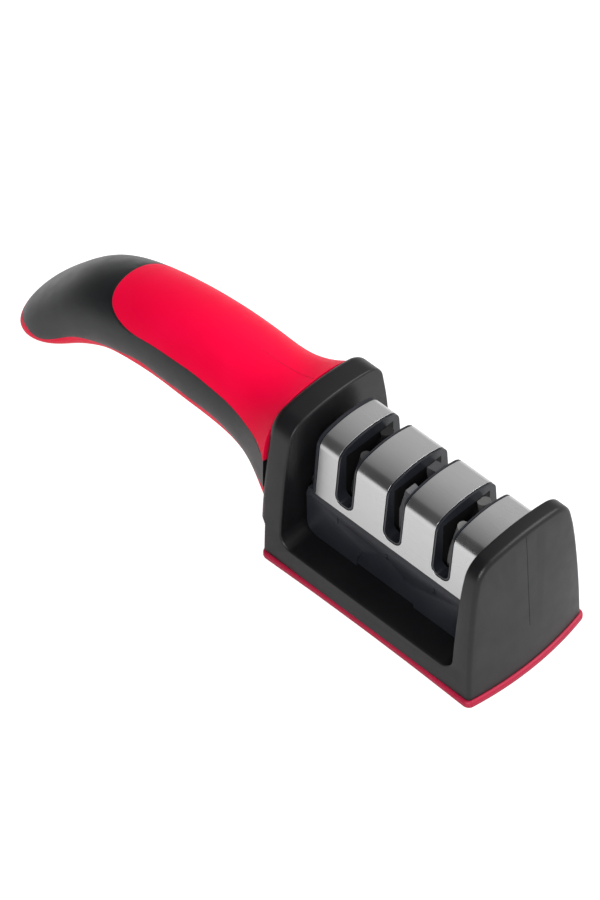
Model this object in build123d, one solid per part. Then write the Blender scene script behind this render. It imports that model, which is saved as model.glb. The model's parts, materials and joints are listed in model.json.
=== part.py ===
"""Three-slot pull-through knife sharpener with a curved soft-grip handle.

The origin is the centre of the underside, +X points to the front end wall, the handle
runs to -X, the knife is drawn along Y and +Z is up. All lengths are in millimetres.
"""
from build123d import *
import math
import os

# Head: base, deck and the two end walls
base_half_length = 41.2
base_half_width = 24.0
rear_face_x = -41.3
front_bulge = 2.7
front_lean_at_corner = 2.55
front_lean_at_middle = 4.4
deck_height = 10.0
deck_thickness = 2.4
front_wall_top = 54.9
front_wall_inner_x = 34.0
collar_top = 57.0
collar_front_x = -35.1
collar_rear_x = -44.0
collar_underside_height = 15.5
collar_underside_radius = 2.4
crown_sagitta = 2.4
crown_half_width = 18.7
crown_corner_radius = 8.0
collar_rear_radius = 2.6
window_corner_radius = 4.5
front_corner_radius = 1.6
window_edge_radius = 0.7

# Soft pad under the base
pad_thickness = 2.6
pad_overhang = 1.0
pad_waist = 0.7
pad_corner_radius = 2.4
pad_edge_radius = 0.9

# Bottom cover and the screws that hold it
skirt_wall = 2.8
cover_plate_thickness = 2.0
cover_plate_clearance = 0.2
base_screw_end_inset = 6.0
base_screw_side_inset = 8.0
base_boss_radius = 3.4
base_screw_shank_radius = 1.4
base_screw_length = 4.8
base_screw_head_radius = 2.6
base_screw_head_height = 1.2

# Handle: its outer form, its soft skin and its hollow core
handle_length = 115.0
handle_centre_height = 36.6
handle_half_width = 16.6
handle_half_height = 16.0
skin_thickness = 2.4
core_wall = 2.2
bulkhead_length = 7.0
spigot_length = 16.0
spigot_half_width = 9.0
spigot_half_height = 4.5
spigot_height = 41.0
spigot_corner_radius = 2.0
spigot_clearance = 0.15
handle_screw_y = 7.0
handle_screw_height = 27.0
handle_screw_shank_radius = 1.6
handle_screw_length = 14.0
handle_screw_head_radius = 3.0
handle_screw_head_height = 2.2

# Cartridge that lifts out of the deck
cartridge_travel_clearance = 0.3
slot_pitch = 19.2
middle_slot_x = 0.35
slot_width = 5.8
slot_floor_rise = 3.3
slot_corner_radius = 2.2
slot_lip = 0.5
lip_drop = 0.08
housing_rear_x = -31.3
housing_front_x = 33.5
skirt_rear_x = -33.4
skirt_front_x = 33.4
skirt_top_half_width = 14.3
skirt_foot_half_width = 13.9
skirt_ledge_drop = 1.9
skirt_corner_radius = 4.2
scoop_depth = 0.8
scoop_half_length = 11.5
scoop_x = -1.8
scoop_rise = 12.7
plug_half_width = 10.6
plug_rear_x = -28.6
plug_front_x = 31.0
plug_underside_height = 5.2
cartridge_floor_thickness = 2.0

# Steel cover over the cartridge
steel_thickness = 0.6
steel_top_height = 51.8
steel_crown_rise = 2.2
steel_foot_height = 28.4
steel_foot_half_width = 14.05
steel_shoulder_half_width = 12.1
steel_bend_radius = 4.6
steel_rear_x = -30.0
steel_front_x = 32.6
steel_slot_gap = 0.3
part_clearance = 0.05

# Abrasive holders and the abrasives in them
holder_half_length = 7.8
holder_half_width = 9.6
holder_top_drop = 4.3
holder_slot_drop = 6.0
holder_clearance = 0.1
abrasive_lean_degrees = 13.0
abrasive_cross_drop = 6.0
abrasive_foot_height = 24.5
abrasive_centre_y = 5.6
rod_radius = 2.0
blade_width = 4.2
blade_thickness = 3.8
abrasive_clearance = 0.05
cartridge_screw_y = 6.0
cartridge_screw_shank_radius = 1.0
cartridge_screw_length = 9.0
cartridge_screw_head_radius = 1.9
cartridge_screw_head_height = 1.0

# Fits
screw_clearance = 0.06
overrun = 20.0

# Half-width of the end walls against height, as shares of the base half-width and
# of the height from the pad to the start of the shoulder
wall_side_shares = [(0.0, 1.0), (0.352, 0.977), (0.694, 0.930), (0.866, 0.897), (1.0, 0.862)]
shoulder_start_height = 43.5

# The handle's sections from the collar to the butt. Each row holds the way along the
# handle, the centre's height, the half-width and the half-height as shares, then the
# lean of the section in degrees and the exponents of its upper and lower outline.
handle_section_shares = [
    (0.000, 0.985, 1.300, 1.250, 0.0, 2.6, 5.5),
    (0.030, 0.967, 1.225, 1.200, 0.0, 2.4, 4.2),
    (0.070, 0.955, 1.140, 1.145, 0.0, 2.2, 2.8),
    (0.122, 0.960, 1.050, 1.090, 0.0, 2.05, 2.2),
    (0.226, 0.992, 1.000, 1.030, 0.0, 2.0, 2.0),
    (0.348, 1.000, 1.000, 0.990, 1.0, 2.0, 2.0),
    (0.461, 0.984, 0.982, 0.932, 6.0, 2.0, 2.0),
    (0.570, 0.934, 0.970, 0.875, 12.0, 2.0, 2.0),
    (0.673, 0.847, 0.976, 0.812, 20.0, 2.0, 2.0),
    (0.752, 0.732, 1.000, 0.756, 29.0, 2.0, 2.2),
    (0.814, 0.604, 1.036, 0.681, 34.5, 2.0, 2.5),
    (0.873, 0.450, 1.085, 0.615, 35.0, 2.0, 2.6),
    (0.922, 0.330, 1.070, 0.535, 36.0, 2.0, 2.4),
    (0.961, 0.243, 0.930, 0.430, 36.0, 2.0, 2.2),
    (0.987, 0.196, 0.690, 0.285, 36.0, 2.0, 2.0),
    (0.998, 0.178, 0.360, 0.140, 36.0, 2.0, 2.0),
]
core_section_count = 13
cavity_section_count = 11
outline_point_count = 24

# Lower edge of the red top grip and upper edge of the red underside, seen from the side,
# as shares of the handle's length and of its centre height
top_grip_edge_shares = [
    (0.000, 1.020), (0.024, 1.090), (0.050, 1.115), (0.089, 1.118), (0.132, 1.128),
    (0.178, 1.150), (0.246, 1.172), (0.320, 1.184), (0.391, 1.172), (0.470, 1.148),
    (0.545, 1.115), (0.590, 1.120), (0.625, 1.140), (0.655, 1.180), (0.671, 1.235),
]
underside_edge_shares = [
    (0.000, 0.720), (0.090, 0.735), (0.150, 0.800), (0.222, 0.885), (0.300, 0.900),
    (0.367, 0.905), (0.430, 0.885), (0.478, 0.900), (0.548, 0.850), (0.617, 0.765),
    (0.678, 0.700), (0.739, 0.627), (0.787, 0.520), (0.843, 0.385), (0.881, 0.345),
    (0.918, 0.380), (0.964, 0.375), (1.020, 0.420),
]

# Heights and places that follow from the sizes above
slot_centres = [middle_slot_x + slot_pitch * step for step in (-1, 0, 1)]
slot_floor_height = steel_foot_height + slot_floor_rise
skirt_ledge_height = steel_foot_height - skirt_ledge_drop
holder_top_height = steel_top_height - holder_top_drop
holder_slot_floor_height = slot_floor_height - holder_slot_drop
abrasive_top_height = holder_top_height
abrasive_cross_height = abrasive_top_height - abrasive_cross_drop


def end_plane(x):
    """Plane square to X at x, its own x along +Y and its own y along +Z."""
    return Plane(origin=(x, 0, 0), x_dir=(0, 1, 0), z_dir=(1, 0, 0))


def along_x(sketch, start, end):
    """Solid made by running a sketch of the YZ plane from start to end."""
    return extrude(end_plane(start) * sketch, end - start)


def along_y(sketch, start, end):
    """Solid made by running a sketch of the XZ plane from start to end."""
    plane = Plane(origin=(0, end, 0), x_dir=(1, 0, 0), z_dir=(0, -1, 0))
    return extrude(plane * sketch, end - start)


def along_z(sketch, start, end):
    """Solid made by running a sketch of the XY plane from start to end."""
    return extrude(Plane.XY.offset(start) * sketch, end - start)


def block(x_range, y_range, z_range):
    """Box between three pairs of coordinates."""
    sizes = [high - low for low, high in (x_range, y_range, z_range)]
    corner = (x_range[0], y_range[0], z_range[0])
    return Pos(*corner) * Box(*sizes, align=(Align.MIN, Align.MIN, Align.MIN))


def post(radius, x, y, z_range):
    """Upright cylinder between two heights."""
    height = z_range[1] - z_range[0]
    upright = Cylinder(radius, height, align=(Align.CENTER, Align.CENTER, Align.MIN))
    return Pos(x, y, z_range[0]) * upright


def as_part(*shapes):
    """One compound of separate solids."""
    return Compound(children=[solid for shape in shapes for solid in shape.solids()])


def plan_outline(rear_x, front_x, half_width, bulge):
    """Footprint with a straight rear edge and an arched front edge."""
    edges = [
        Line((rear_x, -half_width), (front_x, -half_width)),
        ThreePointArc((front_x, -half_width), (front_x + bulge, 0), (front_x, half_width)),
        Line((front_x, half_width), (rear_x, half_width)),
        Line((rear_x, half_width), (rear_x, -half_width)),
    ]
    return make_face(edges)


def end_outline(top):
    """Outline of an end wall, with sides that draw in and a crowned top."""
    rise = shoulder_start_height - pad_thickness
    side = [(share * base_half_width, pad_thickness + height * rise)
            for height, share in wall_side_shares]
    corner = (crown_half_width, top - crown_sagitta)
    mirror_side = [(-y, z) for y, z in side]
    mirror_corner = (-corner[0], corner[1])
    edges = [
        Spline(*side),
        Line(side[-1], corner),
        ThreePointArc(corner, (0, top), mirror_corner),
        Line(mirror_corner, mirror_side[-1]),
        Spline(*reversed(mirror_side)),
        Line(mirror_side[0], side[0]),
    ]
    face = make_face(edges)
    return fillet(face.vertices().group_by(Axis.Y)[-1], crown_corner_radius)


def head_envelope():
    """Space inside the leaning front face, the rear face and the two sides."""
    top = collar_top + crown_sagitta
    lean_rise = (top - pad_thickness) / (front_wall_top - pad_thickness)
    top_corner = base_half_length - front_lean_at_corner * lean_rise
    top_middle = base_half_length + front_bulge - front_lean_at_middle * lean_rise
    outer = base_half_width + pad_overhang
    low = plan_outline(collar_rear_x, base_half_length, outer, front_bulge)
    high = plan_outline(collar_rear_x, top_corner, outer, top_middle - top_corner)
    return loft([Plane.XY.offset(pad_thickness) * low, Plane.XY.offset(top) * high], ruled=True)


def window_cut():
    """The open space over the deck, right through from side to side."""
    length = front_wall_inner_x - collar_front_x
    height = collar_top - deck_height + overrun
    outline = Pos((front_wall_inner_x + collar_front_x) / 2, deck_height + height / 2)
    outline = outline * Rectangle(length, height)
    outline = fillet(outline.vertices().group_by(Axis.Y)[0], window_corner_radius)
    reach = base_half_width + overrun
    return along_y(outline, -reach, reach)


def rear_step_cut():
    """Takes the lower rear of the collar back to the rear face of the base."""
    low = pad_thickness - overrun
    far = collar_rear_x - overrun
    middle = ((rear_face_x + far) / 2, (collar_underside_height + low) / 2)
    outline = Pos(*middle) * Rectangle(rear_face_x - far, collar_underside_height - low)
    corner = outline.vertices().group_by(Axis.X)[-1].group_by(Axis.Y)[-1]
    outline = fillet(corner, collar_underside_radius)
    reach = base_half_width + overrun
    return along_y(outline, -reach, reach)


def base_screw_places():
    """Centres of the four base screws."""
    along = base_half_length - base_screw_end_inset
    across = base_half_width - base_screw_side_inset
    return [(x * along, y * across) for x in (-1, 1) for y in (-1, 1)]


def make_main_body():
    """One moulding: the deck between the front wall and the collar, with a spigot."""
    inner_top = deck_height - deck_thickness
    walls = along_x(end_outline(front_wall_top), 0, base_half_length + overrun)
    walls += along_x(end_outline(collar_top), collar_rear_x, 0)
    body = head_envelope() & walls
    body -= window_cut()
    body -= rear_step_cut()
    body = round_body_edges(body)
    hollow = plan_outline(rear_face_x + skirt_wall, base_half_length - skirt_wall,
                          base_half_width - skirt_wall, front_bulge)
    body -= along_z(hollow, pad_thickness, inner_top)
    cover_top = pad_thickness + cover_plate_thickness
    for x, y in base_screw_places():
        body += post(base_boss_radius, x, y, (cover_top, inner_top + screw_clearance))
        pilot = (cover_top, pad_thickness + base_screw_length + screw_clearance)
        body -= post(base_screw_shank_radius + screw_clearance, x, y, pilot)
    gap = cartridge_travel_clearance
    body -= block((plug_rear_x - gap, plug_front_x + gap),
                  (-plug_half_width - gap, plug_half_width + gap),
                  (inner_top, deck_height))
    body += spigot(0)
    return body - handle_screw_holes()


def round_body_edges(body):
    """Rounds the front corners, the collar's rear edge and the rim of the window."""
    body = fillet(body.edges().filter_by(is_front_corner), front_corner_radius)
    body = fillet(body.edges().filter_by(is_collar_rear_edge), collar_rear_radius)
    return fillet(body.edges().filter_by(is_window_rim), window_edge_radius)


def is_front_corner(edge):
    """True for the two upright edges where the sides meet the front face."""
    box = edge.bounding_box()
    tall = box.size.Z > (front_wall_top - pad_thickness) / 2
    return tall and edge.center(CenterOf.MASS).X > front_wall_inner_x + front_bulge


def is_collar_rear_edge(edge):
    """True for the sides and the crown of the collar's rear outline."""
    box = edge.bounding_box()
    at_rear = box.max.X < collar_rear_x + part_clearance
    return at_rear and box.size.Z > part_clearance


def is_window_rim(edge):
    """True for the outer edges of the deck and of the two faces over it."""
    box = edge.bounding_box()
    low, high = collar_front_x - part_clearance, front_wall_inner_x + part_clearance
    within = low < box.min.X and box.max.X < high
    above = box.min.Z > deck_height - part_clearance
    seam = max(box.size.X, box.size.Z) < part_clearance
    return within and above and not seam


def spigot(clearance):
    """Rear boss of the collar that plugs into the handle core."""
    outline = RectangleRounded(2 * (spigot_half_width + clearance),
                               2 * (spigot_half_height + clearance), spigot_corner_radius)
    return along_x(Pos(0, spigot_height) * outline, collar_rear_x, collar_rear_x - spigot_length)


def handle_screw(shank_radius, head_radius, gap):
    """Two screws that run rearwards through the collar into the handle core."""
    head_end = collar_front_x - handle_screw_head_height - gap
    tip = collar_front_x - handle_screw_length - gap
    screws = []
    for y in (-handle_screw_y, handle_screw_y):
        place = Pos(y, handle_screw_height)
        head = along_x(place * Circle(head_radius), head_end, collar_front_x + gap)
        shank = along_x(place * Circle(shank_radius), tip, head_end)
        screws.append(head + shank)
    return screws


def handle_screw_holes():
    """Space that the handle screws take in the collar and the core."""
    shank = handle_screw_shank_radius + screw_clearance
    head = handle_screw_head_radius + cartridge_travel_clearance
    first, second = handle_screw(shank, head, screw_clearance)
    return first + second


def make_handle_screws():
    """The two handle screws."""
    return as_part(*handle_screw(handle_screw_shank_radius, handle_screw_head_radius, 0))


def pad_outline():
    """Footprint of the soft pad, a little waisted along its sides."""
    rear = rear_face_x - pad_overhang
    front = base_half_length + pad_overhang
    side = base_half_width + pad_overhang
    edges = [
        ThreePointArc((rear, -side), (0, pad_waist - side), (front, -side)),
        ThreePointArc((front, -side), (front + front_bulge, 0), (front, side)),
        ThreePointArc((front, side), (0, side - pad_waist), (rear, side)),
        Line((rear, side), (rear, -side)),
    ]
    face = make_face(edges)
    return fillet(face.vertices(), pad_corner_radius)


def make_base_pad():
    """Soft non-slip pad under the whole base."""
    pad = along_z(pad_outline(), 0, pad_thickness)
    rims = pad.edges().group_by(Axis.Z)
    return fillet(rims[0] + rims[-1], pad_edge_radius)


def make_base_plate():
    """Bottom cover that closes the hollow base, with four screw holes."""
    inset = skirt_wall + cover_plate_clearance
    outline = plan_outline(rear_face_x + inset, base_half_length - inset,
                           base_half_width - inset, front_bulge)
    plate = along_z(outline, pad_thickness, pad_thickness + cover_plate_thickness)
    for x, y in base_screw_places():
        plate -= base_screw(x, y, screw_clearance)
    return plate


def base_screw(x, y, gap):
    """One screw driven upwards from the underside of the bottom cover."""
    head_top = pad_thickness + base_screw_head_height
    head = post(base_screw_head_radius + gap, x, y, (pad_thickness, head_top + gap))
    shank = post(base_screw_shank_radius + gap, x, y,
                 (head_top, pad_thickness + base_screw_length))
    return head + shank


def make_base_screws():
    """The four screws of the bottom cover."""
    return as_part(*[base_screw(x, y, 0) for x, y in base_screw_places()])


def rounded_outline(half_width, half_height, upper_exponent, lower_exponent):
    """Closed smooth outline between an ellipse and a rounded rectangle."""
    points = []
    for step in range(outline_point_count):
        turn = 2 * math.pi * step / outline_point_count
        exponent = upper_exponent if step < outline_point_count / 2 else lower_exponent
        across = math.copysign(abs(math.cos(turn)) ** (2 / exponent), math.cos(turn))
        upward = math.copysign(abs(math.sin(turn)) ** (2 / exponent), math.sin(turn))
        points.append((half_width * across, half_height * upward))
    return make_face(Spline(*points, periodic=True))


def handle_section(row, inset):
    """One section of the handle, drawn in by the inset."""
    along, height, width, tall, lean, upper_exponent, lower_exponent = row
    lean = math.radians(lean)
    place = (collar_rear_x - along * handle_length, 0, height * handle_centre_height)
    plane = Plane(origin=place, x_dir=(0, 1, 0), z_dir=(math.cos(lean), 0, math.sin(lean)))
    outline = rounded_outline(width * handle_half_width - inset,
                              tall * handle_half_height - inset,
                              upper_exponent, lower_exponent)
    return plane * outline


def handle_form(inset, count):
    """Smooth body through the handle's first sections, drawn in by the inset."""
    rows = handle_section_shares[:count]
    return loft([handle_section(row, inset) for row in rows])


def side_region(edge_shares, far_height):
    """Solid between an edge line seen from the side and a far height."""
    points = [(collar_rear_x - along * handle_length, height * handle_centre_height)
              for along, height in edge_shares]
    start = (collar_rear_x + overrun, points[0][1])
    far_x = points[-1][0]
    edges = [
        Line(start, points[0]),
        Spline(*points),
        Line(points[-1], (far_x, far_height)),
        Line((far_x, far_height), (start[0], far_height)),
        Line((start[0], far_height), start),
    ]
    reach = base_half_width + overrun
    return along_y(make_face(edges), -reach, reach)


def make_handle_skins():
    """Black sleeve, red top grip and red underside grip round the core."""
    outer = handle_form(0, len(handle_section_shares))
    skin = outer - handle_form(skin_thickness, core_section_count)
    above = side_region(top_grip_edge_shares, collar_top + overrun)
    below = side_region(underside_edge_shares, -overrun)
    top_grip = skin & above
    underside = skin & below
    sleeve = skin - above - below
    return sleeve, top_grip, underside


def make_handle_cores():
    """Left and right halves of the hollow rigid core."""
    core = handle_form(skin_thickness, core_section_count)
    cavity = handle_form(skin_thickness + core_wall, cavity_section_count)
    bulkhead = collar_rear_x - bulkhead_length
    behind = block((collar_rear_x - handle_length, bulkhead),
                   (-overrun - base_half_width, base_half_width + overrun), (0, collar_top))
    core -= cavity & behind
    core -= spigot(spigot_clearance)
    core -= handle_screw_holes()
    halves = []
    for side in (-1, 1):
        reach = side * (base_half_width + overrun)
        keep = block((collar_rear_x - handle_length - overrun, 0),
                     (min(0, reach), max(0, reach)), (-overrun, collar_top + overrun))
        halves.append(core & keep)
    return halves


def cover_outline(inset, foot_height):
    """Section of the crowned steel cover down to a foot, drawn in by the inset."""
    shoulder_height = steel_top_height - steel_crown_rise
    side_height = shoulder_height - steel_foot_height
    slope = (steel_foot_half_width - steel_shoulder_half_width) / side_height
    shoulder_y = steel_shoulder_half_width + (slope - 1) * inset
    foot_y = steel_foot_half_width - inset + slope * (steel_foot_height - foot_height)
    crown = (0, steel_top_height - inset)
    shoulders = [(side * shoulder_y, shoulder_height - inset) for side in (-1, 1)]
    feet = [(side * foot_y, foot_height) for side in (-1, 1)]
    edges = [
        Line(feet[0], shoulders[0]),
        ThreePointArc(shoulders[0], crown, shoulders[1]),
        Line(shoulders[1], feet[1]),
        Line(feet[1], feet[0]),
    ]
    face = make_face(edges)
    return fillet(face.vertices().group_by(Axis.Y)[-1], steel_bend_radius - inset)


def slot_outline(centre, widen, drop):
    """Slot with a rounded foot, open at the top, seen along Y."""
    half = slot_width / 2 + widen
    low = slot_floor_height - drop
    height = steel_top_height + overrun - low
    outline = Pos(centre, low + height / 2) * Rectangle(2 * half, height)
    return fillet(outline.vertices().group_by(Axis.Y)[0], slot_corner_radius + widen)


def slot_cuts(widen):
    """All three slots, right through from side to side."""
    reach = base_half_width
    cuts = [along_y(slot_outline(centre, widen, widen), -reach, reach) for centre in slot_centres]
    return cuts[0] + cuts[1] + cuts[2]


def make_steel_cover():
    """Bent sheet cover with three slots."""
    sheet = cover_outline(0, steel_foot_height) - cover_outline(steel_thickness, steel_foot_height)
    return along_x(sheet, steel_rear_x, steel_front_x) - slot_cuts(slot_lip + steel_slot_gap)


def skirt_solid():
    """Lower skirt of the cartridge, with a ledge under the steel cover."""
    inner = steel_foot_half_width - steel_thickness
    section = [(-skirt_foot_half_width, deck_height), (-skirt_top_half_width, skirt_ledge_height),
               (-inner, steel_foot_height), (inner, steel_foot_height),
               (skirt_top_half_width, skirt_ledge_height), (skirt_foot_half_width, deck_height)]
    solid = along_x(make_face(Polyline(*section, close=True)), skirt_rear_x, skirt_front_x)
    middle = ((skirt_rear_x + skirt_front_x) / 2, (deck_height + steel_foot_height) / 2)
    side = Pos(*middle) * Rectangle(skirt_front_x - skirt_rear_x, steel_foot_height - deck_height)
    side = fillet(side.vertices().group_by(Axis.Y)[0], skirt_corner_radius)
    return solid & along_y(side, -base_half_width, base_half_width)


def thumb_scoops():
    """Two shallow hollows in the skirt, one on each side."""
    outline = Pos(scoop_x, deck_height) * Ellipse(scoop_half_length, scoop_rise)
    inner = skirt_foot_half_width - scoop_depth
    return along_y(outline, inner, base_half_width) + along_y(outline, -base_half_width, -inner)


def holder_pockets():
    """Pockets in the housing that the three holders fill."""
    half = holder_half_length + holder_clearance
    side = holder_half_width + holder_clearance
    z_range = (plug_underside_height, holder_top_height + holder_clearance)
    return [block((x - half, x + half), (-side, side), z_range) for x in slot_centres]


def cartridge_screw_places():
    """Centres of the four cartridge screws, in the ribs between the pockets."""
    ribs = [middle_slot_x - slot_pitch / 2, middle_slot_x + slot_pitch / 2]
    return [(x, y) for x in ribs for y in (-cartridge_screw_y, cartridge_screw_y)]


def cartridge_screw(x, y, gap):
    """One screw driven upwards through the cartridge floor."""
    head_top = plug_underside_height + cartridge_screw_head_height
    tip = plug_underside_height + cartridge_screw_length
    head = post(cartridge_screw_head_radius + gap, x, y, (plug_underside_height, head_top + gap))
    shank = post(cartridge_screw_shank_radius + gap, x, y, (head_top, tip + gap))
    return head + shank


def make_cartridge_housing():
    """Plastic housing: upper part under the cover, slot lips, skirt and plug."""
    rim = cover_outline(lip_drop, steel_foot_height)
    inner = cover_outline(steel_thickness + part_clearance, steel_foot_height)
    lips = along_x(rim, steel_rear_x + steel_slot_gap, steel_front_x - steel_slot_gap)
    housing = along_x(inner, housing_rear_x, housing_front_x)
    housing += along_x(rim, housing_rear_x, steel_rear_x - steel_slot_gap)
    housing += along_x(rim, steel_front_x + steel_slot_gap, housing_front_x)
    housing += lips & slot_cuts(slot_lip)
    housing += skirt_solid()
    floor_top = plug_underside_height + cartridge_floor_thickness
    housing += block((plug_rear_x, plug_front_x), (-plug_half_width, plug_half_width),
                     (floor_top, deck_height))
    housing -= slot_cuts(0)
    housing -= thumb_scoops()
    for pocket in holder_pockets():
        housing -= pocket
    for x, y in cartridge_screw_places():
        housing -= cartridge_screw(x, y, screw_clearance)
    return housing


def make_cartridge_floor():
    """Plate that closes the underside of the cartridge."""
    floor = block((plug_rear_x, plug_front_x), (-plug_half_width, plug_half_width),
                  (plug_underside_height, plug_underside_height + cartridge_floor_thickness))
    for x, y in cartridge_screw_places():
        floor -= cartridge_screw(x, y, screw_clearance)
    return floor


def make_cartridge_screws():
    """The four cartridge screws."""
    return as_part(*[cartridge_screw(x, y, 0) for x, y in cartridge_screw_places()])


def leaning(shape, slot_x, side):
    """Puts an upright abrasive through the crossing point, leaning to its own side."""
    lean = -side * abrasive_lean_degrees
    place = Pos(slot_x, side * abrasive_centre_y, abrasive_cross_height)
    return place * Rot(0, lean, 0) * shape


def abrasive_span(gap):
    """Lower and upper ends of an abrasive, measured along it from the crossing point."""
    slope = math.cos(math.radians(abrasive_lean_degrees))
    low = (abrasive_foot_height - abrasive_cross_height) / slope - gap
    high = (abrasive_top_height - abrasive_cross_height) / slope + gap
    return low, high


def make_rod(slot_x, side, gap):
    """Round abrasive rod."""
    return leaning(post(rod_radius + gap, 0, 0, abrasive_span(gap)), slot_x, side)


def make_blade(slot_x, side, gap):
    """Flat abrasive blade."""
    half = blade_width / 2 + gap
    thick = blade_thickness / 2 + gap
    return leaning(block((-half, half), (-thick, thick), abrasive_span(gap)), slot_x, side)


def make_holder(slot_x, make_abrasive):
    """Block round one slot, with a seat for each of its two abrasives."""
    floor_top = plug_underside_height + cartridge_floor_thickness
    holder = block((slot_x - holder_half_length, slot_x + holder_half_length),
                   (-holder_half_width, holder_half_width), (floor_top, holder_top_height))
    slot = slot_outline(slot_x, 0, slot_floor_height - holder_slot_floor_height)
    holder -= along_y(slot, -base_half_width, base_half_width)
    for side in (-1, 1):
        holder -= make_abrasive(slot_x, side, abrasive_clearance)
    return holder


def make_stages():
    """The three holders and the six abrasives, by name."""
    kinds = [("coarse", "diamond_rod", make_rod), ("medium", "carbide_blade", make_blade),
             ("fine", "ceramic_rod", make_rod)]
    pieces = {}
    for slot_x, (stage, abrasive, make_abrasive) in zip(slot_centres, kinds):
        pieces[stage + "_stage_holder"] = make_holder(slot_x, make_abrasive)
        for name, side in (("near", -1), ("far", 1)):
            pieces[abrasive + "_" + name] = make_abrasive(slot_x, side, 0)
    return pieces


def make_all():
    """Every node of the sharpener, by name."""
    sleeve, top_grip, underside = make_handle_skins()
    left_core, right_core = make_handle_cores()
    pieces = {
        "base_pad": make_base_pad(),
        "base_plate": make_base_plate(),
        "base_screws": make_base_screws(),
        "main_body": make_main_body(),
        "handle_core_left": left_core,
        "handle_core_right": right_core,
        "handle_screws": make_handle_screws(),
        "handle_sleeve": sleeve,
        "grip_top": top_grip,
        "grip_underside": underside,
        "cartridge_housing": make_cartridge_housing(),
        "cartridge_floor": make_cartridge_floor(),
        "cartridge_screws": make_cartridge_screws(),
        "steel_cover": make_steel_cover(),
    }
    pieces.update(make_stages())
    return pieces


os.makedirs("parts", exist_ok=True)
for name, piece in make_all().items():
    export_step(piece, "parts/" + name + ".step")
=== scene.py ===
"""Looks for the pull-through knife sharpener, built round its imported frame.

Everything is in metres in the CAD's frame: +X to the front end wall, the handle to -X,
the knife is drawn along Y, and the pad stands on z = 0.
"""
import json
import math
import bmesh
import bpy
from mathutils import Matrix, Vector
from mathutils.bvhtree import BVHTree


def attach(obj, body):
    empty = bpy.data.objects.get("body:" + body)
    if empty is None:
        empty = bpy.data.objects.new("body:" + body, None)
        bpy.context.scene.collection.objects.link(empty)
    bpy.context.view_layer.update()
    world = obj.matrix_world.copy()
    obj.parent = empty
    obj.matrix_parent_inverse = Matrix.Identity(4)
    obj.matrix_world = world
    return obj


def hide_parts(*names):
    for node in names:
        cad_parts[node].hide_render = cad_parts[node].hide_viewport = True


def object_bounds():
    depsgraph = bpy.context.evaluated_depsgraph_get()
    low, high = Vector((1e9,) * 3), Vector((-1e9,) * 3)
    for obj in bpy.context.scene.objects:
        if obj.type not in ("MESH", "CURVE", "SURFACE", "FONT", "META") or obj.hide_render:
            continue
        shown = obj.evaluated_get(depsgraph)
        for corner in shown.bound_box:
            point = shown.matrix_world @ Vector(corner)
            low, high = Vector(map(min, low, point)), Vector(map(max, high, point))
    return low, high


MM = 0.001

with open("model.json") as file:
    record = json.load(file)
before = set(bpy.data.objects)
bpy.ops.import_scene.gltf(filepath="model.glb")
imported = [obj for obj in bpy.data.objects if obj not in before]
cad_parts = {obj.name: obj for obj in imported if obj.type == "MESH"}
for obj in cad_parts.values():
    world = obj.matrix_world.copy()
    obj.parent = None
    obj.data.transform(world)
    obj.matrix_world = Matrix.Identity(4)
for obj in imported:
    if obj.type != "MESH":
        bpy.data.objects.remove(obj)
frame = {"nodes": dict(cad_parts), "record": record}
cad_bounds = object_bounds()
nodes = frame["nodes"]
scene = bpy.context.scene

# Camera fitted to the photograph
CAMERA_AZIMUTH = 44.59
CAMERA_ELEVATION = 47.69
CAMERA_DISTANCE = 1.450
CAMERA_RIGHT = -0.03571
CAMERA_UP = 0.04002
CAMERA_LENS = 197.34
CAMERA_REACH = 30.0
SENSOR = 36.0

# Rounding of the edges of each dressed piece
WELD_DISTANCE = 0.001 * MM
FLAT_DEGREES = 0.4
SHARP_DEGREES = 32.0
ROUNDING_SEGMENTS = 2
EDGE_ROUNDING = {
    "main_body": 0.30 * MM,
    "cartridge_housing": 0.14 * MM,
    "steel_cover": 0.06 * MM,
    "base_pad": 0.20 * MM,
    "handle_sleeve": 0.22 * MM,
    "grip_top": 0.28 * MM,
    "grip_underside": 0.22 * MM,
}

# Stage numbers on the near side of the cartridge's skirt
NUMBER_PLACES = {"1": -20.6 * MM, "2": -0.8 * MM, "3": 18.0 * MM}
NUMBER_HEIGHT = 23.1 * MM
NUMBER_SIZE = 3.0 * MM
NUMBER_RELIEF = 0.10 * MM
SKIRT_OUTSET = 14.24 * MM

# Parting lines down the front wall and along the neck of the grip
PARTING_STEPS = 24
PARTING_RELIEF = 0.07 * MM
PARTING_SINK = 0.05 * MM
RAY_RUN = 5.0 * MM
FRONT_LINE_TOP = 53.4 * MM
FRONT_LINE_FOOT = 17.7 * MM
FRONT_LINE_HALF_WIDTH = 0.16 * MM
GRIP_LINE_FAR = -66.0 * MM
GRIP_LINE_NECK = -44.4 * MM
GRIP_LINE_HALF_WIDTH = 0.10 * MM

# Floor and studio light
FLOOR_HALF = 4.0
FLOOR_ALBEDO = 0.50
FLOOR_CAMERA_GLOW = 0.84
FLOOR_GLOSSY_GLOW = 0.52
WORLD_AXIS = (0.55, 0.80, 0.24)
WORLD_STOPS = [(0.0, 0.05), (0.30, 0.06), (0.43, 0.09), (0.64, 0.47), (0.85, 0.80), (1.0, 0.95)]
KEY_LAMP = {"place": (0.5, 1.1, 1.5), "size": 1.2, "power": 23.0}
FILL_LAMP = {"place": (0.8, -1.3, 0.9), "size": 0.9, "power": 24.0}

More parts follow.
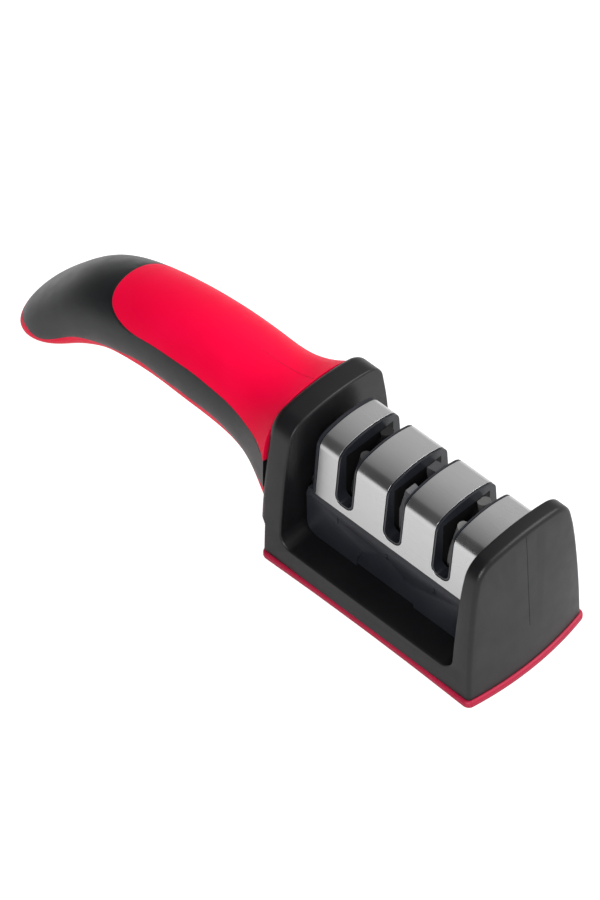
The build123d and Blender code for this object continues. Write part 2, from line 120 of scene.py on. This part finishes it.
# Grain of the finishes
NOISE_RANGE = (0.3, 0.7)
NOISE_ROUGHNESS = 0.55
SOFT_DETAIL = 2.0
FINE_DETAIL = 4.0
BLOTCH_SCALE = 45.0
UNEVEN_SCALE = 160.0
PATCH_SCALE = 60.0
SHEEN_ROUGHNESS = 0.4
BRUSH_STRETCH = (0.02, 1.0, 1.0)
BRUSH_SCALE = 9000.0
BRUSH_DETAIL = 3.0
BRUSH_ROUGHNESS = 0.6
GRIT_ROUGHNESS = 0.7

# Looks of the finishes by slot; colours and gloss run between two ends
MOULDED_LOOKS = {
    "grip_red": {"colours": ((0.88, 0.000, 0.040), (0.95, 0.001, 0.050)), "gloss": (0.44, 0.52),
                 "grain": 3500.0, "relief": 0.02 * MM, "specular": 0.10, "sheen": 0.03},
    "pad_red": {"colours": ((0.38, 0.004, 0.036), (0.46, 0.006, 0.046)), "gloss": (0.45, 0.55),
                "grain": 3000.0, "relief": 0.03 * MM, "specular": 0.40},
    "sleeve_black": {"colours": ((0.006, 0.007, 0.008), (0.010, 0.011, 0.012)), "gloss": (0.36, 0.44),
                     "grain": 4200.0, "relief": 0.03 * MM, "specular": 0.48},
    "body_black": {"colours": ((0.005, 0.005, 0.006), (0.008, 0.008, 0.009)), "gloss": (0.34, 0.42),
                   "grain": 3000.0, "relief": 0.03 * MM, "specular": 0.33},
    "cartridge_black": {"colours": ((0.013, 0.014, 0.019), (0.019, 0.021, 0.027)), "gloss": (0.30, 0.38),
                        "grain": 3800.0, "relief": 0.01 * MM, "specular": 0.45},
    "inner_plastic": {"colours": ((0.002, 0.002, 0.002), (0.004, 0.004, 0.004)), "gloss": (0.55, 0.65),
                      "grain": 3000.0, "relief": 0.03 * MM, "specular": 0.20},
}
BRUSHED_LOOKS = {
    "cover_steel": {"colours": ((0.55, 0.55, 0.555), (0.61, 0.61, 0.61)), "gloss": (0.26, 0.32),
                    "relief": 0.002 * MM},
    "screw_steel": {"colours": ((0.40, 0.40, 0.41), (0.50, 0.50, 0.51)), "gloss": (0.30, 0.38),
                    "relief": 0.004 * MM},
}
ABRASIVE_LOOKS = {
    "diamond_grey": {"colours": ((0.008, 0.008, 0.008), (0.035, 0.035, 0.035)),
                     "grain": 5200.0, "relief": 0.08 * MM, "metallic": 0.2, "rough": 0.65},
    # Carbide keeps its own dark grey, darkened further, and the white ceramic is set to a dark grey:
    # both darkenings are painted shade of the slot interiors
    "carbide_grey": {"colours": ((0.08, 0.08, 0.085), (0.14, 0.14, 0.15)),
                     "grain": 2600.0, "relief": 0.02 * MM, "metallic": 0.2, "rough": 0.55},
    "ceramic_white": {"colours": ((0.11, 0.11, 0.11), (0.18, 0.18, 0.175)),
                      "grain": 4200.0, "relief": 0.04 * MM, "metallic": 0.0, "rough": 0.60},
}


# Materials

def new_material(name):
    """Empty node material with a Principled shader; returns (material, tree, shader)."""
    material = bpy.data.materials.new(name)
    material.use_nodes = True
    tree = material.node_tree
    tree.nodes.clear()
    output = tree.nodes.new("ShaderNodeOutputMaterial")
    shader = tree.nodes.new("ShaderNodeBsdfPrincipled")
    tree.links.new(shader.outputs["BSDF"], output.inputs["Surface"])
    return material, tree, shader


def object_coordinates(tree, scale=(1, 1, 1)):
    """Place on the object in metres, stretched by scale."""
    place = tree.nodes.new("ShaderNodeTexCoord")
    mapping = tree.nodes.new("ShaderNodeMapping")
    mapping.inputs["Scale"].default_value = scale
    tree.links.new(place.outputs["Object"], mapping.inputs["Vector"])
    return mapping.outputs["Vector"]


def noise(tree, vector, scale, detail, roughness=NOISE_ROUGHNESS):
    """Noise value at a place."""
    node = tree.nodes.new("ShaderNodeTexNoise")
    node.inputs["Scale"].default_value = scale
    node.inputs["Detail"].default_value = detail
    node.inputs["Roughness"].default_value = roughness
    tree.links.new(vector, node.inputs["Vector"])
    return node.outputs["Fac"]


def ramp(tree, value, low, high):
    """Colour that runs from low to high over the usual range of a noise value."""
    node = tree.nodes.new("ShaderNodeValToRGB")
    for element, place, shade in zip(node.color_ramp.elements, NOISE_RANGE, (low, high)):
        element.position = place
        element.color = (*shade, 1)
    tree.links.new(value, node.inputs["Fac"])
    return node.outputs["Color"]


def grey_ramp(tree, value, low, high):
    """Level that runs from low to high over the usual range of a noise value."""
    return ramp(tree, value, (low, low, low), (high, high, high))


def bump(tree, shader, value, distance):
    """Fine relief from a value, in metres."""
    node = tree.nodes.new("ShaderNodeBump")
    node.inputs["Distance"].default_value = distance
    tree.links.new(value, node.inputs["Height"])
    tree.links.new(node.outputs["Normal"], shader.inputs["Normal"])


def moulded(name, colours, gloss, grain, relief, specular, sheen=0.0):
    """Moulded plastic or rubber with a faint blotch, an eroded grain and uneven gloss."""
    material, tree, shader = new_material(name)
    place = object_coordinates(tree)
    blotch = noise(tree, place, BLOTCH_SCALE, SOFT_DETAIL)
    tree.links.new(ramp(tree, blotch, *colours), shader.inputs["Base Color"])
    uneven = noise(tree, place, UNEVEN_SCALE, FINE_DETAIL)
    tree.links.new(grey_ramp(tree, uneven, *gloss), shader.inputs["Roughness"])
    shader.inputs["Specular IOR Level"].default_value = specular
    shader.inputs["Sheen Weight"].default_value = sheen
    shader.inputs["Sheen Roughness"].default_value = SHEEN_ROUGHNESS
    bump(tree, shader, noise(tree, place, grain, SOFT_DETAIL), relief)
    return material


def brushed(name, colours, gloss, relief):
    """Sheet steel with fine brush lines along its length."""
    material, tree, shader = new_material(name)
    shader.inputs["Metallic"].default_value = 1.0
    along = object_coordinates(tree, BRUSH_STRETCH)
    streaks = noise(tree, along, BRUSH_SCALE, BRUSH_DETAIL, BRUSH_ROUGHNESS)
    broad = noise(tree, object_coordinates(tree), PATCH_SCALE, SOFT_DETAIL)
    tree.links.new(ramp(tree, streaks, *colours), shader.inputs["Base Color"])
    tree.links.new(grey_ramp(tree, broad, *gloss), shader.inputs["Roughness"])
    bump(tree, shader, streaks, relief)
    return material


def abrasive(name, colours, grain, relief, metallic, rough):
    """Ground or coated abrasive with a coarse grain."""
    material, tree, shader = new_material(name)
    grit = noise(tree, object_coordinates(tree), grain, FINE_DETAIL, GRIT_ROUGHNESS)
    tree.links.new(ramp(tree, grit, *colours), shader.inputs["Base Color"])
    shader.inputs["Metallic"].default_value = metallic
    shader.inputs["Roughness"].default_value = rough
    bump(tree, shader, grit, relief)
    return material


def make_materials():
    """Every finish of the sharpener, by its slot."""
    finishes = {}
    for make, looks in ((moulded, MOULDED_LOOKS), (brushed, BRUSHED_LOOKS), (abrasive, ABRASIVE_LOOKS)):
        for slot, look in looks.items():
            finishes[slot] = make(slot, **look)
    return finishes


# Pieces

def dressed_mesh(source):
    """Copy of a solid's mesh, welded and freed of flat seams, ready for rounded edges."""
    mesh = source.copy()
    shape = bmesh.new()
    shape.from_mesh(mesh)
    bmesh.ops.remove_doubles(shape, verts=shape.verts, dist=WELD_DISTANCE)
    bmesh.ops.dissolve_limit(shape, angle_limit=math.radians(FLAT_DEGREES),
                             verts=shape.verts, edges=shape.edges)
    shape.to_mesh(mesh)
    shape.free()
    mesh.polygons.foreach_set("use_smooth", [True] * len(mesh.polygons))
    mesh.set_sharp_from_angle(angle=math.radians(SHARP_DEGREES))
    return mesh


def dress(name, body, material):
    """Puts a piece with softly rounded edges in the place of a solid."""
    mesh = dressed_mesh(nodes[name].data)
    mesh.materials.clear()
    mesh.materials.append(material)
    piece = bpy.data.objects.new(name + "_dressed", mesh)
    scene.collection.objects.link(piece)
    bevel = piece.modifiers.new("rounded_edges", "BEVEL")
    bevel.width = EDGE_ROUNDING[name]
    bevel.segments = ROUNDING_SEGMENTS
    bevel.limit_method = "ANGLE"
    bevel.angle_limit = math.radians(SHARP_DEGREES)
    bevel.harden_normals = True
    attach(piece, body)
    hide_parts(name)
    return piece


def make_number(text, x, material):
    """Raised stage number on the near side of the skirt."""
    curve = bpy.data.curves.new("number", "FONT")
    curve.body = text
    curve.size = NUMBER_SIZE
    curve.extrude = NUMBER_RELIEF
    curve.align_x = "CENTER"
    pattern = bpy.data.objects.new("number_pattern", curve)
    scene.collection.objects.link(pattern)
    ready = pattern.evaluated_get(bpy.context.evaluated_depsgraph_get())
    mesh = bpy.data.meshes.new_from_object(ready)
    bpy.data.objects.remove(pattern)
    place = Matrix.Translation((x, -SKIRT_OUTSET, NUMBER_HEIGHT))
    mesh.transform(place @ Matrix.Rotation(math.pi / 2, 4, "X"))
    mesh.materials.clear()
    mesh.materials.append(material)
    piece = bpy.data.objects.new("stage_number_" + text, mesh)
    scene.collection.objects.link(piece)
    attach(piece, "cartridge")


def spread(first, last):
    """Evenly spaced places from first to last along a parting line."""
    return [first + (last - first) * step / PARTING_STEPS for step in range(PARTING_STEPS + 1)]


def make_parting_line(name, source, starts, inward, half_width, material):
    """Fine moulding ridge where a row of rays from outside meets a solid."""
    solid = nodes[source].data
    corners = [vertex.co for vertex in solid.vertices]
    faces = [tuple(face.vertices) for face in solid.polygons]
    surface = BVHTree.FromPolygons(corners, faces)
    side = Vector((0, half_width, 0))
    shape = bmesh.new()
    rows = []
    for start in starts:
        hit = surface.ray_cast(start, inward)[0]
        if hit is None:
            continue
        foot = hit + inward * PARTING_SINK
        crest = hit - inward * PARTING_RELIEF
        rows.append([shape.verts.new(place) for place in (foot - side, crest, foot + side)])
    for upper, lower in zip(rows, rows[1:]):
        for near, far in ((0, 1), (1, 2), (2, 0)):
            shape.faces.new((upper[near], lower[near], lower[far], upper[far]))
    shape.faces.new(rows[0])
    shape.faces.new(reversed(rows[-1]))
    bmesh.ops.recalc_face_normals(shape, faces=shape.faces)
    mesh = bpy.data.meshes.new(name)
    shape.to_mesh(mesh)
    shape.free()
    mesh.materials.append(material)
    piece = bpy.data.objects.new(name, mesh)
    scene.collection.objects.link(piece)
    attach(piece, "sharpener_body")


def make_parting_lines(materials):
    """Parting lines of the two mouldings that show one."""
    ahead = cad_bounds[1][0] + RAY_RUN
    above = cad_bounds[1][2] + RAY_RUN
    front = [Vector((ahead, 0, height)) for height in spread(FRONT_LINE_TOP, FRONT_LINE_FOOT)]
    grip = [Vector((way, 0, above)) for way in spread(GRIP_LINE_FAR, GRIP_LINE_NECK)]
    # The front ridge takes the near-black inner plastic, darker than the body: a painted dark line for
    # the shade along the ridge
    make_parting_line("front_parting_line", "main_body", front, Vector((-1, 0, 0)),
                      FRONT_LINE_HALF_WIDTH, materials["inner_plastic"])
    # The grip's ridge takes the far darker pad red: a painted dark line standing for the shade along the
    # ridge at the neck
    make_parting_line("grip_parting_line", "grip_top", grip, Vector((0, 0, -1)),
                      GRIP_LINE_HALF_WIDTH, materials["pad_red"])


def dress_part(materials):
    """Gives each node its finish, and dresses the ones that show."""
    bodies = frame["record"]["behaviour"]["bodies"]
    for row in frame["record"]["subparts"]:
        name, slot = row["node"], row["material_slot"]
        material = materials[slot]
        mesh = nodes[name].data
        mesh.materials.clear()
        mesh.materials.append(material)
        if name in EDGE_ROUNDING:
            body = next(body for body, members in bodies.items() if name in members)
            dress(name, body, material)
    for text, x in NUMBER_PLACES.items():
        make_number(text, x, materials["inner_plastic"])
    make_parting_lines(materials)


# Stage

def make_floor():
    """Pale floor that the camera and glossy surfaces see as near white."""
    mesh = bpy.data.meshes.new("floor")
    corners = [(x * FLOOR_HALF, y * FLOOR_HALF, 0) for x, y in ((-1, -1), (1, -1), (1, 1), (-1, 1))]
    mesh.from_pydata(corners, [], [(0, 1, 2, 3)])
    floor = bpy.data.objects.new("floor", mesh)
    scene.collection.objects.link(floor)
    material = bpy.data.materials.new("floor_pale")
    material.use_nodes = True
    tree = material.node_tree
    tree.nodes.clear()
    output = tree.nodes.new("ShaderNodeOutputMaterial")
    diffuse = tree.nodes.new("ShaderNodeBsdfDiffuse")
    diffuse.inputs["Color"].default_value = (FLOOR_ALBEDO, FLOOR_ALBEDO, FLOOR_ALBEDO, 1)
    glow = tree.nodes.new("ShaderNodeEmission")
    rays = tree.nodes.new("ShaderNodeLightPath")
    seen = tree.nodes.new("ShaderNodeMath")
    seen.operation = "MULTIPLY"
    seen.inputs[1].default_value = FLOOR_CAMERA_GLOW
    level = tree.nodes.new("ShaderNodeMath")
    level.operation = "MULTIPLY_ADD"
    level.inputs[1].default_value = FLOOR_GLOSSY_GLOW
    both = tree.nodes.new("ShaderNodeAddShader")
    tree.links.new(rays.outputs["Is Camera Ray"], seen.inputs[0])
    tree.links.new(rays.outputs["Is Glossy Ray"], level.inputs[0])
    tree.links.new(seen.outputs[0], level.inputs[2])
    tree.links.new(level.outputs[0], glow.inputs["Strength"])
    tree.links.new(diffuse.outputs[0], both.inputs[0])
    tree.links.new(glow.outputs[0], both.inputs[1])
    tree.links.new(both.outputs[0], output.inputs["Surface"])
    mesh.materials.append(material)


def make_world():
    """Studio surroundings: dark on the near left, pale behind, white for the camera."""
    world = bpy.data.worlds.new("studio")
    scene.world = world
    world.use_nodes = True
    tree = world.node_tree
    tree.nodes.clear()
    output = tree.nodes.new("ShaderNodeOutputWorld")
    background = tree.nodes.new("ShaderNodeBackground")
    place = tree.nodes.new("ShaderNodeTexCoord")
    along = tree.nodes.new("ShaderNodeVectorMath")
    along.operation = "DOT_PRODUCT"
    along.inputs[1].default_value = WORLD_AXIS
    tree.links.new(place.outputs["Generated"], along.inputs[0])
    share = tree.nodes.new("ShaderNodeMapRange")
    share.inputs["From Min"].default_value = -1.0
    tree.links.new(along.outputs["Value"], share.inputs["Value"])
    shades = tree.nodes.new("ShaderNodeValToRGB")
    elements = shades.color_ramp.elements
    while len(elements) < len(WORLD_STOPS):
        elements.new(0.5)
    for element, (position, shade) in zip(elements, WORLD_STOPS):
        element.position = position
        element.color = (shade, shade, shade, 1)
    tree.links.new(share.outputs["Result"], shades.inputs["Fac"])
    rays = tree.nodes.new("ShaderNodeLightPath")
    mix = tree.nodes.new("ShaderNodeMix")
    mix.data_type = "RGBA"
    mix.inputs["B"].default_value = (1, 1, 1, 1)
    tree.links.new(rays.outputs["Is Camera Ray"], mix.inputs["Factor"])
    tree.links.new(shades.outputs["Color"], mix.inputs["A"])
    tree.links.new(mix.outputs["Result"], background.inputs["Color"])
    tree.links.new(background.outputs[0], output.inputs["Surface"])


def make_lamp(name, place, size, power):
    """Square softbox that faces the sharpener."""
    data = bpy.data.lights.new(name, "AREA")
    data.shape = "SQUARE"
    data.size = size
    data.energy = power
    lamp = bpy.data.objects.new(name, data)
    scene.collection.objects.link(lamp)
    lamp.location = place
    lamp.rotation_euler = (-Vector(place)).to_track_quat("-Z", "Y").to_euler()


def make_camera():
    """Camera at the photograph's angle."""
    azimuth, elevation = math.radians(CAMERA_AZIMUTH), math.radians(CAMERA_ELEVATION)
    back = Vector((math.cos(elevation) * math.sin(azimuth),
                   -math.cos(elevation) * math.cos(azimuth), math.sin(elevation)))
    right = Vector((math.cos(azimuth), math.sin(azimuth), 0))
    up = back.cross(right)
    data = bpy.data.cameras.new("camera")
    data.sensor_width = SENSOR
    data.lens = CAMERA_LENS
    data.clip_end = CAMERA_REACH
    camera = bpy.data.objects.new("camera", data)
    scene.collection.objects.link(camera)
    camera.location = back * CAMERA_DISTANCE + right * CAMERA_RIGHT + up * CAMERA_UP
    camera.rotation_euler = Matrix((right, up, back)).transposed().to_euler()
    scene.camera = camera


dress_part(make_materials())
make_floor()
make_world()
make_lamp("key_softbox", **KEY_LAMP)
make_lamp("fill_softbox", **FILL_LAMP)
make_camera()
scene.view_settings.view_transform = "Standard"
